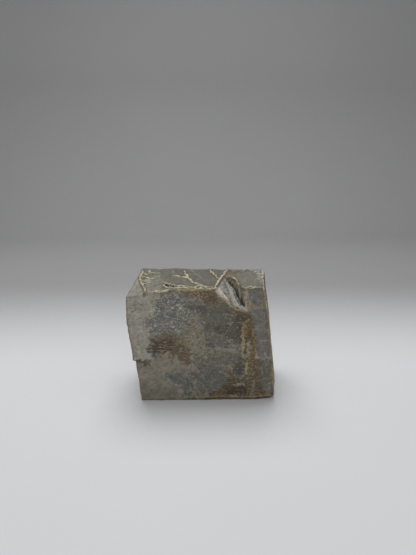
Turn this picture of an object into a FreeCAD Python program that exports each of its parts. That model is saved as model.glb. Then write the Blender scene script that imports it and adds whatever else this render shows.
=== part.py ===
import FreeCAD, Part
import os
import Sketcher

# A hand-cut block of cold-process soap: one cast piece, standing on its long narrow side.
# Millimetres, +Z up, the broad cut face towards -Y, origin under the middle of the block.

SIZES = [
    ("bottom_width", 77.9, "along the underside"),
    ("top_width", 75.9, "along the top, left corner to right corner"),
    ("height", 67.0, "underside to the flat of the top"),
    ("left_height", 62.9, "underside to the top left corner of the front"),
    ("depth", 41.5, "front face to rear face"),
    ("lean", 6.7, "how far the top left corner stands out past the bottom left one"),
    ("side_bulge", 1.3, "swelling of the right side"),
    ("rear_shift", 4.4, "how far the rear of the top sits to the right of its front"),
    ("ledge_height", 26.4, "height of the step on the left side"),
    ("ledge_step", 1.6, "overhang of the step"),
    ("edge_round", 1.3, "wear on the edges"),
    ("foot_round", 4.0, "wear on the bottom right corner"),
    ("fold_width", 15.0, "opening of the fold along the top of the front"),
    ("fold_drop", 14.0, "how far the fold comes down the front"),
    ("fold_reach", 28.0, "how far the fold runs back over the top"),
    ("crease_width", 1.2, "the open crease along the bottom of the fold"),
    ("crease_deep", 1.9, "its depth below the fold"),
    ("ridge_width", 1.7, "foot of the raised ridges on the top"),
    ("ridge_height", 0.9, "their height above the flat of the top"),
    ("hollow_deep", 2.4, "depth of the wedge-shaped hollow"),
    ("pit_width", 1.3, "across each small pit"),
    ("pit_deep", 1.1, "depth of each small pit"),
]

doc = FreeCAD.newDocument("soap")
sheet = doc.addObject("Spreadsheet::Sheet", "sizes")
for row, (name, value, note) in enumerate(SIZES, start=1):
    sheet.set("A%d" % row, name)
    sheet.set("B%d" % row, str(value))
    sheet.set("C%d" % row, note)
    sheet.setAlias("B%d" % row, name)
doc.recompute()


class Place:
    """A coordinate: a sum of shares of the named sizes, kept as {size name: share}."""

    def __init__(self, shares=None):
        self.shares = dict(shares or {})

    def __add__(self, other):
        out = dict(self.shares)
        for name, share in other.shares.items():
            out[name] = out.get(name, 0.0) + share
        return Place(out)

    def __mul__(self, factor):
        return Place({name: share * factor for name, share in self.shares.items()})

    __rmul__ = __mul__

    def __sub__(self, other):
        return self + other * -1.0

    def number(self):
        """The coordinate at the sizes in the sheet."""
        return sum(float(sheet.get(name)) * share for name, share in self.shares.items())

    def formula(self):
        """The coordinate as an expression on the sheet, empty where it is nothing."""
        terms = ["%.5f * sizes.%s" % (share, name) for name, share in self.shares.items() if share]
        return " + ".join(terms).replace("+ -", "- ")


(bottom_width, top_width, height, left_height, depth, lean, side_bulge, rear_shift, ledge_height,
 ledge_step, edge_round, foot_round, fold_width, fold_drop, fold_reach, crease_width, crease_deep,
 ridge_width, ridge_height, hollow_deep, pit_width, pit_deep) = [
    Place({name: 1.0}) for name, value, note in SIZES]
nothing = Place()


def foot(share):
    """Along the underside: 0 at its left corner, 1 at its right corner."""
    return (share - 0.5) * bottom_width + 0.5 * lean


def top(share):
    """Along the top of the front: 0 at its left corner, 1 at its right corner."""
    return share * top_width - 0.5 * bottom_width - 0.5 * lean


def back(share):
    """From the front face (0) to the rear face (1)."""
    return (share - 0.5) * depth


# Sketches and lofts

def closed_sketch(body, name, role, offset, points):
    """A closed line through points, each bound to the sheet, on a plane of the body."""
    plane = [f for f in body.Origin.OriginFeatures if f.Role == role][0]
    sketch = body.newObject("Sketcher::SketchObject", name)
    sketch.AttachmentSupport = [(plane, "")]
    sketch.MapMode = "FlatFace"
    sketch.setExpression("AttachmentOffset.Base.z", offset.formula())
    ends = [FreeCAD.Vector(a.number(), b.number(), 0) for a, b in points]
    count = len(ends)
    for i in range(count):
        sketch.addGeometry(Part.LineSegment(ends[i], ends[(i + 1) % count]))
    for i in range(count):
        sketch.addConstraint(Sketcher.Constraint("Coincident", i, 2, (i + 1) % count, 1))
    for i, (a, b) in enumerate(points):
        for kind, axis, place in (("DistanceX", "x", a), ("DistanceY", "y", b)):
            rule = sketch.addConstraint(Sketcher.Constraint(kind, -1, 1, i, 1, place.number()))
            sketch.renameConstraint(rule, "%s%d" % (axis, i))
            if place.formula():
                sketch.setExpression("Constraints.%s%d" % (axis, i), place.formula())
    sketch.Visibility = False
    return sketch


def loft(body, kind, name, sketches):
    """A ruled loft through sketches with the same number of corners."""
    made = body.newObject("PartDesign::" + kind, name)
    made.Profile = sketches[0]
    made.Sections = sketches[1:]
    made.Ruled = True
    return made


# The block: six outlines from front to rear, the outer ones drawn in for the worn edges

def outline(rear, inset):
    """The outline of the block. rear is 0 at the front and 1 at the back, inset a share of the
    wear by which each corner is drawn in along its own inward direction."""
    drift = rear * rear_shift
    right_foot = foot(1.0)
    right_top = top(1.0) + drift
    left_top = top(0.0) + 1.3 * drift
    left_rise = 1.012 * rear * height + (1.0 - rear) * left_height
    ledge = 0.4 * foot(0.0) + 0.6 * left_top
    step = (1.0 - 0.6 * rear) * ledge_step
    corners = [
        # the underside, left to right
        (foot(0.0) + 0.8 * edge_round, nothing, 0.4, 0.4),
        (right_foot - foot_round, nothing, -0.3, 0.4),
        (right_foot - 0.3 * foot_round, 0.26 * foot_round, -0.6, 0.4),
        (right_foot, foot_round, -1.0, 0.3),
        # up the right side
        (0.54 * right_foot + 0.46 * right_top + 0.55 * side_bulge, 0.46 * height, -1.0, 0.0),
        (0.26 * right_foot + 0.74 * right_top + side_bulge, 0.74 * height, -1.0, 0.0),
        (0.07 * right_foot + 0.93 * right_top + 0.3 * side_bulge, 0.93 * height, -1.0, -0.3),
        (right_top - 0.4 * edge_round, (1.0 - 0.006 * rear) * height - 0.4 * edge_round, -0.8, -0.8),
        (right_top - 2.0 * edge_round, (1.0 - 0.006 * rear) * height + 0.3 * edge_round, -0.3, -1.0),
        # along the top, right to left
        (top(0.632) + drift, height - 0.4 * (1.0 - rear) * edge_round, 0.0, -1.0),
        (top(0.331) + drift, (1.0 + 0.008 * rear) * height - 0.2 * (1.0 - rear) * edge_round, 0.0, -1.0),
        (top(0.125) + drift, 0.72 * left_rise + 0.28 * height, 0.1, -1.0),
        (left_top + 1.1 * edge_round, left_rise + 0.1 * edge_round, 0.4, -1.0),
        (left_top + 0.2 * edge_round, left_rise - 0.5 * edge_round, 0.8, -0.7),
        (left_top, left_rise - 1.6 * edge_round, 1.0, -0.3),
        # down the bowed left side, over the step
        (0.06 * foot(0.0) + 0.94 * left_top, 0.75 * left_rise, 1.0, 0.0),
        (ledge - 0.1 * step, ledge_height + 0.3 * edge_round, 1.0, 0.2),
        (ledge + 0.9 * step, ledge_height - 0.2 * edge_round, 1.0, 0.0),
        (foot(0.0) + 0.1 * edge_round, 1.2 * edge_round, 1.0, 0.4),
    ]
    return [(x + inset * nx * edge_round, z + inset * nz * edge_round) for x, z, nx, nz in corners]


body = doc.addObject("PartDesign::Body", "soap_body")
stations = []
for rear, inset, inward in ((0, 1.0, 0.0), (0, 0.3, 0.3), (0, 0.0, 1.0),
                            (1, 0.0, -1.0), (1, 0.3, -0.3), (1, 1.0, 0.0)):
    # the plane looks out of the front, so the distance along it is counted towards -Y
    away = back(1.0 - rear) - inward * edge_round
    name = "outline_%s_%d" % ("rear" if rear else "front", round(10 * inset))
    stations.append(closed_sketch(body, name, "XZ_Plane", away, outline(rear, inset)))
loft(body, "AdditiveLoft", "cast_block", stations)


# The fold that runs back from the front over the top, and the open crease along its bottom

def fold_at(share, drop):
    """A place on the front: share of the fold's opening, drop a share of its height."""
    return top(0.685) + share * fold_width, height - drop * fold_drop


MOUTH = [(-0.26, -0.12), (0.073, 0.364), (0.38, 0.643), (0.673, 0.80), (0.927, 0.886),
         (0.887, 0.607), (0.887, -0.12)]


def crease_at(share, drop):
    """A narrow slot around a place on the bottom line of the fold."""
    middle, level = fold_at(share, drop)
    return [(middle + side * 0.5 * crease_width, level + rise * crease_deep)
            for side, rise in ((-1.0, 1.6), (1.0, 1.6), (0.35, -1.0), (-0.35, -1.0))]


at_front = back(1.0) + 0.8 * edge_round
at_end = back(1.0) - fold_reach
near_end = back(1.0) - 0.92 * fold_reach
loft(body, "SubtractiveLoft", "fold", [
    closed_sketch(body, "fold_mouth", "XZ_Plane", at_front,
                  [fold_at(share, drop) for share, drop in MOUTH]),
    closed_sketch(body, "fold_tail", "XZ_Plane", at_end,
                  [fold_at(0.225 + 0.055 * share, 0.055 * drop - 0.10) for share, drop in MOUTH])])
loft(body, "SubtractiveLoft", "crease", [
    closed_sketch(body, "crease_mouth", "XZ_Plane", at_front, crease_at(0.86, 0.72)),
    closed_sketch(body, "crease_tail", "XZ_Plane", near_end, crease_at(0.293, 0.02))])


# The raised ridges on the top: each a line of places in shares of the top's length and depth

RIDGES = [
    # left, with its branch
    [(0.412, 0.831), (0.423, 0.699), (0.440, 0.554), (0.460, 0.434),
     (0.481, 0.328), (0.515, 0.236), (0.561, 0.152), (0.607, 0.111), (0.636, 0.092)],
    [(0.328, 0.593), (0.370, 0.578), (0.406, 0.547), (0.449, 0.482)],
    # the two that meet left of the fold
    [(0.621, 0.935), (0.636, 0.795), (0.657, 0.627), (0.679, 0.482), (0.692, 0.395)],
    [(0.760, 0.940), (0.750, 0.843), (0.723, 0.684),
     (0.701, 0.518), (0.681, 0.376), (0.660, 0.217), (0.642, 0.087)],
    # along the right of the fold and out to the corner
    [(0.789, 0.593), (0.810, 0.496), (0.834, 0.386), (0.842, 0.241),
     (0.850, 0.149), (0.881, 0.096), (0.937, 0.082), (0.974, 0.087)],
    # at the rear edge and at the right edge
    [(0.781, 0.935), (0.805, 0.843), (0.847, 0.858), (0.905, 0.930)],
    [(1.026, 0.916), (1.021, 0.771), (1.011, 0.602), (1.000, 0.434), (0.989, 0.265)],
    # the lips of the hollow
    [(0.257, 0.304), (0.315, 0.255), (0.368, 0.169),
     (0.404, 0.154), (0.452, 0.145), (0.489, 0.096)],
    [(0.273, 0.207), (0.294, 0.106), (0.341, 0.082), (0.391, 0.082)],
]


def band(line, spread):
    """Both sides of a line, spread apart by a share of the ridge's width and tapered to its ends."""
    left = []
    right = []
    last = len(line) - 1
    for i, (x, y) in enumerate(line):
        ax, ay = line[max(i - 1, 0)]
        bx, by = line[min(i + 1, last)]
        # the top is nearly twice as long as it is deep, so its shares aren't square
        dx = (bx - ax) * top_width.number() / depth.number()
        dy = by - ay
        side = (0.28 if i in (0, last) else 0.5) * spread / (dx * dx + dy * dy) ** 0.5
        left.append((top(x) - dy * side * ridge_width, back(y) + dx * side * ridge_width))
        right.append((top(x) + dy * side * ridge_width, back(y) - dx * side * ridge_width))
    return left + right[::-1]


for i, line in enumerate(RIDGES, start=1):
    loft(body, "AdditiveLoft", "ridge_%d" % i, [
        closed_sketch(body, "ridge_foot_%d" % i, "XY_Plane", height - 1.6 * ridge_height,
                      band(line, 1.5)),
        closed_sketch(body, "ridge_crest_%d" % i, "XY_Plane", height + ridge_height,
                      band(line, 0.35))])


# The wedge-shaped hollow and the small pits, each narrower at its floor

def dig(name, rim, floor, deep):
    """A hollow that narrows from one outline above the top to another below it."""
    loft(body, "SubtractiveLoft", name, [
        closed_sketch(body, name + "_rim", "XY_Plane", height + 0.5 * deep, rim),
        closed_sketch(body, name + "_floor", "XY_Plane", height - deep, floor)])


def around(x, y, spread):
    """Five uneven corners round a place on the top, at a share of the pit's width."""
    return [(top(x) + 0.5 * spread * dx * pit_width, back(y) + 0.5 * spread * dy * pit_width)
            for dx, dy in ((1.0, 0.1), (0.4, 0.9), (-0.7, 0.7), (-0.9, -0.5), (0.3, -0.9))]


dig("hollow", [(top(x), back(y)) for x, y in ((0.281, 0.275), (0.296, 0.135), (0.354, 0.178))],
    [(top(x), back(y)) for x, y in ((0.300, 0.224), (0.306, 0.175), (0.326, 0.190))], hollow_deep)
for i, (x, y) in enumerate(((0.412, 0.101), (0.441, 0.101), (0.515, 0.096),
                            (0.697, 0.735), (0.971, 0.761)), start=1):
    dig("pit_%d" % i, around(x, y, 1.7), around(x, y, 0.5), pit_deep)

doc.recompute()

# Checks, then the part

body.Label = "soap_bar"
for item in doc.Objects:
    if "Invalid" in item.State or "Error" in item.State:
        raise RuntimeError("%s did not build: %s" % (item.Label, item.State))
    if item.isDerivedFrom("PartDesign::Feature"):
        if item.Shape.isNull() or not item.Shape.isValid():
            raise RuntimeError("%s has no valid shape" % item.Label)
shape = body.Shape
if shape.isNull() or not shape.isValid() or len(shape.Solids) != 1:
    raise RuntimeError("the block is not one valid solid")

os.makedirs("parts", exist_ok=True)
shape.exportStep("parts/soap_bar.step")
print("volume %.1f cm3, %d faces" % (shape.Volume / 1000, len(shape.Faces)))
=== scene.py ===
import math

import bpy
import numpy as np
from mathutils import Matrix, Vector


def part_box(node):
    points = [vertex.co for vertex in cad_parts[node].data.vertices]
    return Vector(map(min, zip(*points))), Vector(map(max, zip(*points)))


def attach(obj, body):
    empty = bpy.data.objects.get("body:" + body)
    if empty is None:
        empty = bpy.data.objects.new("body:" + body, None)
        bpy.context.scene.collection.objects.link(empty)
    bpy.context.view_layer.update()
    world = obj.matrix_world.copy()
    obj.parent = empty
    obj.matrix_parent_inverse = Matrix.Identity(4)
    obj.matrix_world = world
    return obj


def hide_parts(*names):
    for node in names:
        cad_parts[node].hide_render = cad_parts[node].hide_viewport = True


bl_info = {
    "name": "Bar of soap",
    "version": (1, 0, 0),
    "blender": (4, 5, 0),
    "location": "3D View > Sidebar > Soap",
    "description": "A hand-cut block of soap with a folded top edge, and the stage it stands on",
    "category": "Object",
}

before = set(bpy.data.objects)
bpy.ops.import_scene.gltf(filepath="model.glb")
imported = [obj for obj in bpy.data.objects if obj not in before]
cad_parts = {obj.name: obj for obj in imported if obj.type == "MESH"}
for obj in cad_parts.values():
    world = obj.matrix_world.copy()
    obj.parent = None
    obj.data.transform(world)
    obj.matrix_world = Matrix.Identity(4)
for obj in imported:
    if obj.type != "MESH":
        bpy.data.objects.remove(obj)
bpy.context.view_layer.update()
LOW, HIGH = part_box("soap_bar")

# Measures inside this file are millimetres counted from the front bottom left corner of the block:
# x to the right, y from the front face to the rear, z up. The mesh is moved to the frame in metres.


# Sizes and colours

def length(name, description, default):
    """A property for a length in metres."""
    return bpy.props.FloatProperty(name=name, description=description, default=default,
                                   min=0.0, precision=5, unit="LENGTH")


def paint(name, description, red, green, blue):
    """A property for a colour, written in display values from 0 to 255."""
    return bpy.props.FloatVectorProperty(name=name, description=description, size=3, min=0.0,
                                         max=1.0, default=(red / 255, green / 255, blue / 255),
                                         subtype="COLOR_GAMMA")


class SoapSizes(bpy.types.PropertyGroup):
    """Lengths of the block."""

    bottom_width: length("Bottom width", "Along the underside", 0.0779)
    top_width: length("Top width", "Along the top, from corner to corner", 0.0759)
    height: length("Height", "From the underside to the flat of the top", 0.067)
    left_height: length("Left height", "Height of the front's top left corner", 0.0629)
    depth: length("Depth", "From the front face to the rear face", float(HIGH[1] - LOW[1]))
    lean: length("Lean", "How far the top left corner stands out past the bottom one", 0.0067)
    bulge: length("Bulge", "Swelling of the right side", 0.0013)
    rear_shift: length("Rear shift", "How far the rear of the top sits to the right", 0.0044)
    step_height: length("Step height", "Height of the step on the left side", 0.0264)
    step_out: length("Step", "Overhang of the step on the left side", 0.0016)
    wear: length("Worn edges", "Rounding of the edges", 0.0011)
    foot_wear: length("Worn foot", "Rounding of the bottom right corner", 0.0036)
    fold_drop: length("Fold drop", "How far the fold comes down the front", 0.013)
    fold_reach: length("Fold reach", "How far the fold runs back over the top", 0.027)
    crease: length("Crease", "Depth of the open crease along the fold", 0.0019)
    ridge: length("Ridges", "Height of the raised ridges on the top", 0.0009)
    spacing: length("Mesh spacing", "Distance between the lines of the mesh", 0.00056)


class SoapColours(bpy.types.PropertyGroup):
    """Colours of the block."""

    bare: paint("Bare", "Bare soap of the cut faces", 84, 84, 78)
    film: paint("Film", "Chalky film of the cut faces", 112, 107, 94)
    top_bare: paint("Top", "Bare soap of the top", 93, 91, 78)
    top_film: paint("Top film", "Film of the top", 113, 110, 96)
    pit: paint("Pits", "Small pits all over", 48, 45, 37)
    dark_drag: paint("Dark drag", "Dark dragged lines", 56, 50, 38)
    pale_drag: paint("Pale drag", "Pale dragged lines", 110, 101, 82)
    rust: paint("Rust", "Small rusty spots", 92, 67, 40)
    vein_shade: paint("Vein shade", "Brown skirt beside the veins", 84, 68, 42)
    vein_heart: paint("Vein heart", "Dark parts of the veins", 76, 58, 28)
    ochre: paint("Ochre", "Golden parts of the veins", 114, 90, 42)
    vein_light: paint("Vein light", "Pale grains in the veins", 150, 140, 112)
    # painted shade: the brown beside the ridges is partly the shadow of the raised ridges
    ridge_shade: paint("Ridge shade", "Brown skirt beside the ridges", 84, 74, 54)
    old_cream: paint("Old cream", "Duller parts of the ridges", 148, 137, 108)
    cream: paint("Cream", "Ridges and crusts of the top", 186, 178, 154)
    # painted shade: the dark painted into the crease, the hollow and the pits of the top
    recess_shade: paint("Crack", "Depth of the crease, the hollow and the pits", 34, 31, 26)


class StageSettings(bpy.types.PropertyGroup):
    """Floor, backdrop and light."""

    floor: paint("Floor", "Pale floor round the block", 211, 212, 214)
    # painted shade: the grey of the backdrop stands for the light falling off behind and above the block
    backdrop: paint("Backdrop", "Grey backdrop behind the block", 147, 147, 148)
    sky: bpy.props.FloatProperty(name="Sky", description="Even light from all round",
                                 default=0.42, min=0.0)
    key: bpy.props.FloatProperty(name="Key lamp", description="Lamp above and behind the block",
                                 default=2.9, min=0.0, unit="POWER")
    fill: bpy.props.FloatProperty(name="Fill lamp", description="Lamp in front of the block",
                                  default=2.15, min=0.0, unit="POWER")


# Fields on the faces: each takes places in millimetres and gives one number for each

def smooth(value, low, high):
    """0 below low and 1 above high, with a cubic ease between them."""
    share = np.clip((value - low) / (high - low), 0.0, 1.0)
    return share * share * (3.0 - 2.0 * share)


def waves(places, size, seed, count=20):
    """Smooth noise: a sum of sines in random directions with lengths about size, divided so that
    its spread is about 1."""
    rng = np.random.default_rng(seed)
    heading = rng.normal(size=(count, places.shape[1]))
    heading /= np.linalg.norm(heading, axis=1, keepdims=True)
    rate = 2.0 * math.pi / (size * rng.uniform(0.6, 1.7, count))
    phase = rng.uniform(0.0, 2.0 * math.pi, count)
    return np.sin(places @ (heading * rate[:, None]).T + phase).sum(axis=1) * math.sqrt(2.0 / count)


def wobble(places, *terms):
    """A sum of waves, each given as (height, size, seed)."""
    return sum(height * waves(places, size, seed) for height, size, seed in terms)


def run_distance(points, a, b, width=None):
    """Distance to a line through points. With width it is the width at the nearest place, tapered
    to half at both ends, less the distance: positive inside the stroke."""
    points = np.asarray(points, float)
    best = np.full(a.shape, 1e9)
    share = np.zeros(a.shape)
    steps = np.hypot(*np.diff(points, axis=0).T)
    start = np.concatenate([[0.0], np.cumsum(steps)])
    for i in range(len(points) - 1):
        (ax, ay), (bx, by) = points[i], points[i + 1]
        dx, dy = bx - ax, by - ay
        t = np.clip(((a - ax) * dx + (b - ay) * dy) / (dx * dx + dy * dy), 0.0, 1.0)
        d = np.hypot(a - ax - t * dx, b - ay - t * dy)
        nearer = d < best
        best = np.where(nearer, d, best)
        share = np.where(nearer, (start[i] + t * steps[i]) / start[-1], share)
    if width is None:
        return best
    return width * (0.5 + 0.5 * smooth(np.minimum(share, 1.0 - share), 0.0, 0.18)) - best


def area_distance(points, a, b):
    """Distance to the outline of an area, positive inside. A place is inside where a ray to its
    right crosses the outline an odd number of times."""
    points = np.asarray(points, float)
    closed = np.vstack([points, points[:1]])
    inside = np.zeros(a.shape, bool)
    for (ax, ay), (bx, by) in zip(closed[:-1], closed[1:]):
        if ay != by:
            crosses = ((ay > b) != (by > b)) & (a < ax + (b - ay) * (bx - ax) / (by - ay))
            inside ^= crosses
    return np.where(inside, 1.0, -1.0) * run_distance(closed, a, b)


# Patches of the front, as (layer, colour, softness, cover, drag, relief, outline in x and z). The
# layer says whose colour it is: bare soap, or the chalky film over it. Softness is the width of the
# edge, cover is the share of the film that is left, drag runs from 0 to 1, and relief is how far the
# patch stands out. Two patches share one outline.

BETWEEN_VEINS = [(57.5, 48), (61.5, 50), (63.5, 44.5), (65.5, 34.5), (66, 25.5), (65.5, 16.5), (59.5, 14.5),
                 (59.5, 20.5), (59.5, 28.5), (58, 32.5), (57, 40.5)]

FRONT_AREAS = [
    # pale film down the left and over the lower left
    ("film", (133, 129, 117), 0.8, 0.95, 0, 0.12, [
        (-12.5, 74), (12.5, 74), (12.5, 65.5), (12, 62), (9.5, 61), (9, 57), (8, 51), (5, 49), (5, 46),
        (6.5, 43), (5.5, 40), (6, 36.5), (4.5, 32.5), (5.5, 28.5), (9.5, 25.5), (-10, 24.5)]),
    ("film", (112, 107, 95), 1.4, 0.92, 0, 0.1, [
        (-10, 25), (7.5, 26), (15.5, 26.5), (21.5, 24.5), (26.5, 21.5), (32.5, 20.5), (33.5, 17.5),
        (27.5, 19.5), (23.5, 18), (18.5, 17.5), (13, 15), (16.5, 12.5), (21.5, 10), (23.5, 6.5),
        (26.5, 4.5), (25.5, -3), (-8, -3)]),
    ("film", (98, 94, 82), 5, 0.9, 0, 0, [
        (-8, 10.5), (9.5, 11.5), (19.5, 8.5), (24.5, 3.5), (24.5, -5), (-8, -5)]),
    # slate at the upper left, and the paler grey beside it
    ("film", (138, 135, 123), 0.7, 0.36, 0.25, 0, [
        (12.5, 63.5), (23, 65.5), (28.5, 56.5), (27.5, 46), (21.5, 41), (5.5, 41), (5, 48), (9, 58)]),
    ("bare", (91, 92, 88), 0.7, 0.36, 0.25, -0.06, [
        (12.5, 63.5), (15.5, 65), (18.5, 65.5), (23, 65.5), (25, 63), (25.5, 60), (28.5, 56.5), (28, 52),
        (25.5, 50), (27.5, 46), (23.5, 43), (21.5, 41), (13, 40.5), (5.5, 41), (5, 46), (4.5, 48.5),
        (7.5, 50), (8.5, 54.5), (9, 58.5), (11.5, 61.5)]),
    ("film", (110, 105, 94), 1.2, 0.5, 0, 0, [
        (23.5, 65), (35.5, 64), (37.5, 60), (35.5, 58), (30.5, 58.5), (25.5, 57), (23.5, 60)]),
    # beige middle
    ("film", (118, 110, 93), 2, 0.62, 0.1, 0.08, [
        (20.5, 43), (24.5, 44), (28.5, 49), (30, 54.5), (33, 55), (33.5, 50), (36.5, 47), (36.5, 40.5),
        (40.5, 36.5), (44.5, 34.5), (49.5, 33.5), (55.5, 32), (56.5, 29.5), (49.5, 28.5), (41.5, 27.5),
        (35.5, 25.5), (30.5, 22.5), (28.5, 24.5), (28.5, 28.5), (26.5, 33.5), (24.5, 37.5), (22.5, 40.5)]),
    # olive, and the darker browner soap right of it
    ("bare", (77, 78, 67), 1.3, 0.2, 0.5, 0, [
        (33.5, 55), (36.5, 58), (41.5, 59), (47.5, 58), (50.5, 55), (49.5, 48), (47.5, 44.5),
        (43.5, 41.5), (37.5, 43), (36.5, 47), (34.5, 50)]),
    ("bare", (64, 61, 48), 1.5, 0.2, 0.6, -0.1, [
        (43.5, 46), (49.5, 46.5), (56.5, 46), (57.5, 42.5), (56.5, 37.5), (49.5, 38.5), (44.5, 40.5),
        (41.5, 42.5)]),
    ("bare", (66, 66, 59), 0.8, 0.18, 0.4, -0.1, [
        (25.5, 55.5), (29.5, 57.5), (34, 58), (37, 56), (37.5, 52.5), (35, 54.5), (30.5, 56)]),
    ("bare", (80, 80, 74), 1.2, 0.34, 0.8, 0, [
        (36.5, 43), (43.5, 41.5), (45.5, 38.5), (56.5, 37.5), (57, 31.5), (49.5, 32), (43.5, 31.5),
        (39.5, 33.5), (37.5, 36.5)]),
    ("film", (104, 100, 88), 1.5, 0.5, 0.2, 0, [
        (34.5, 27.5), (44.5, 30), (57.5, 30.5), (59, 26.5), (58.5, 22.5), (54.5, 20.5), (47.5, 19.5),
        (41.5, 20.5), (34.5, 20.5)]),
    ("bare", (62, 61, 53), 1, 0.16, 0.2, -0.12, [
        (50.5, 17.5), (52.5, 20.5), (55.5, 25), (58.5, 26), (59.5, 20.5), (59, 15.5), (54.5, 14.5),
        (52.5, 15.5)]),
    # grey of the lower middle, and the lens beside it
    ("bare", (81, 82, 76), 1.3, 0.22, 0.4, 0, [
        (28.5, 19.5), (33.5, 17.5), (36.5, 21.5), (44.5, 20.5), (49.5, 18.5), (50.5, 12.5), (46.5, 6.5),
        (41.5, 5.5), (35.5, 5.5), (32.5, 8.5), (27.5, 9.5), (29.5, 14.5)]),
    ("bare", (84, 86, 83), 0.5, 0.08, 0, -0.12, [
        (13, 15.5), (16.5, 17), (19.5, 18), (24, 17.5), (25, 14.5), (27, 12), (27.5, 9.5), (25, 7),
        (22.5, 9), (20, 11.5), (15.5, 13)]),
    ("bare", (78, 75, 66), 1.2, 0.34, 0.3, 0, [
        (25.5, 5.5), (29.5, 6), (33.5, 4.5), (40.5, 4.5), (40.5, -2), (25.5, -2)]),
    ("film", (106, 100, 84), 0.7, 0.75, 0.3, 0.06, [
        (26.5, 5), (30.5, 7), (35.5, 6), (33.5, 4.5), (29.5, 4.5)]),
    # dark brown foot at the right
    ("film", (114, 104, 82), 1.6, 0.24, 0.5, 0, [
        (38.5, 5), (49.5, 11.5), (51.5, 14.5), (57.5, 13.5), (67.5, 13.5), (73, 6), (79, 1), (79, -3),
        (37.5, -3)]),
    ("bare", (70, 58, 35), 1.6, 0.24, 0.5, -0.15, [
        (38.5, 5), (46.5, 7.5), (49.5, 11.5), (51.5, 14.5), (57.5, 13.5), (63.5, 14), (67.5, 13.5),
        (71, 10.5), (73, 6), (79, 1), (79, -3), (37.5, -3)]),
    ("bare", (45, 37, 22), 1.6, 0.1, 0.7, -0.15, [
        (48.5, 7.5), (57.5, 8.5), (61.5, 6), (59.5, 2), (49.5, 3)]),
    ("bare", (86, 67, 40), 1, 0.12, 0.4, 0, [(39.5, 4), (44.5, 4.5), (47.5, 2.5), (41.5, 0.5)]),
    # the strip down the right, with the pale band across it
    ("bare", (90, 89, 84), 1, 0.24, 0.45, 0, [
        (61, 74), (60, 54), (62, 49), (64, 40.5), (66, 30.5), (66, 24.5), (78, 24.5), (76, 40.5),
        (75.5, 52), (73.5, 74)]),
    ("bare", (80, 79, 70), 1.2, 0.3, 0.5, 0, [
        (66, 25), (79, 25), (79, 4), (72, 2.5), (69, 7), (69, 12.5), (66.5, 16.5)]),
    ("bare", (72, 62, 44), 1.4, 0.3, 0.5, -0.08, [
        (64.5, 23.5), (68.5, 24.5), (69.5, 18.5), (68, 12.5), (64.5, 10.5), (63, 15.5)]),
    ("film", (121, 122, 117), 0.7, 0.95, 0, 0.05, [(66.5, 27.5), (74, 27.5), (75, 25.5), (66.5, 25.5)]),
    # brown stain, its dark heart, and its rusty tail
    ("bare", (88, 75, 42), 0.5, 0.14, 0.6, -0.15, [
        (7, 37), (11.5, 38.5), (17.5, 41), (20.5, 38.5), (21.5, 34.5), (23, 31.5), (27.5, 29.5),
        (28.5, 26), (27, 23), (23, 24), (20.5, 26.5), (17, 27.5), (11.5, 29.5), (8, 29.5), (6.5, 32.5)]),
    ("bare", (62, 51, 27), 0.6, 0.04, 1, -0.22, [
        (7, 36.5), (12, 37), (17, 38.5), (20, 37), (21, 33.5), (20, 30.5), (13, 30), (8, 30)]),
    ("bare", (84, 71, 45), 1, 0.28, 0.4, -0.1, [
        (19.5, 40), (23.5, 38.5), (25.5, 34), (28, 31), (29, 26), (27, 23), (22.5, 24.5), (19.5, 30)]),
    ("bare", (92, 72, 42), 0.7, 0.3, 0.2, 0, [(23, 27), (26, 28), (28.5, 25.5), (27, 23.5), (24, 24)]),
    ("film", (113, 104, 84), 1.2, 0.8, 0.1, 0.05, [(10.5, 29.5), (19, 29.5), (20.5, 26.5), (12.5, 27.5)]),
    # brown line under the step: a stain, and partly painted shade under the step's overhang
    ("bare", (76, 66, 48), 0.8, 0.12, 0.1, -0.2, [
        (-4.5, 25.5), (2.5, 25.5), (7, 25), (5.5, 23), (1.5, 22.5), (-4.5, 23)]),
    # dragged brown below the fold
    ("bare", (62, 54, 33), 1.1, 0.14, 1, -0.18, [
        (50.5, 55), (53.5, 56), (59, 54), (61, 51), (60, 45), (58, 42), (55, 44), (53, 46.5),
        (51.5, 49.5), (49.5, 52.5)]),
    # between the veins
    ("film", (124, 113, 86), 1, 0.4, 0.4, 0, BETWEEN_VEINS),
    ("bare", (70, 59, 35), 1, 0.34, 0.4, 0, BETWEEN_VEINS),
    # crust under the top edge, and the brown patch beside it
    ("film", (146, 134, 102), 0.6, 0.42, 0, 0.1, [
        (21, 68.5), (37, 68.5), (37, 64.5), (32, 64), (29, 65.5), (25.5, 64.5), (22, 66)]),
    ("bare", (88, 68, 33), 0.5, 0.32, 0, 0.15, [
        (21.5, 68), (37.5, 68), (37, 64), (32, 63.5), (29, 65), (25.5, 64), (22, 66)]),
    ("bare", (76, 63, 40), 0.6, 0.22, 0, -0.12, [(35, 67), (42.5, 67), (43, 60), (41, 59), (36, 60.5)]),
    ("bare", (92, 66, 42), 0.5, 0.3, 0, 0, [
        (36.5, 63.5), (39, 63.5), (39.5, 61.5), (37.5, 61)]),
    # the lobe right of the fold
    ("film", (122, 115, 99), 0.5, 0.84, 0, 0.1, [
        (53, 72), (58.5, 72), (60.5, 66), (62, 60), (61.5, 57.5), (60.5, 55), (58.5, 54), (56, 57)]),
]

# Strokes of the front, as (layer, colour, half width, strength, relief, line in x and z), and the
# cover under a stroke of each layer

STROKE_COVER = {"film": 0.9, "bare": 0.05}

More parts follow.
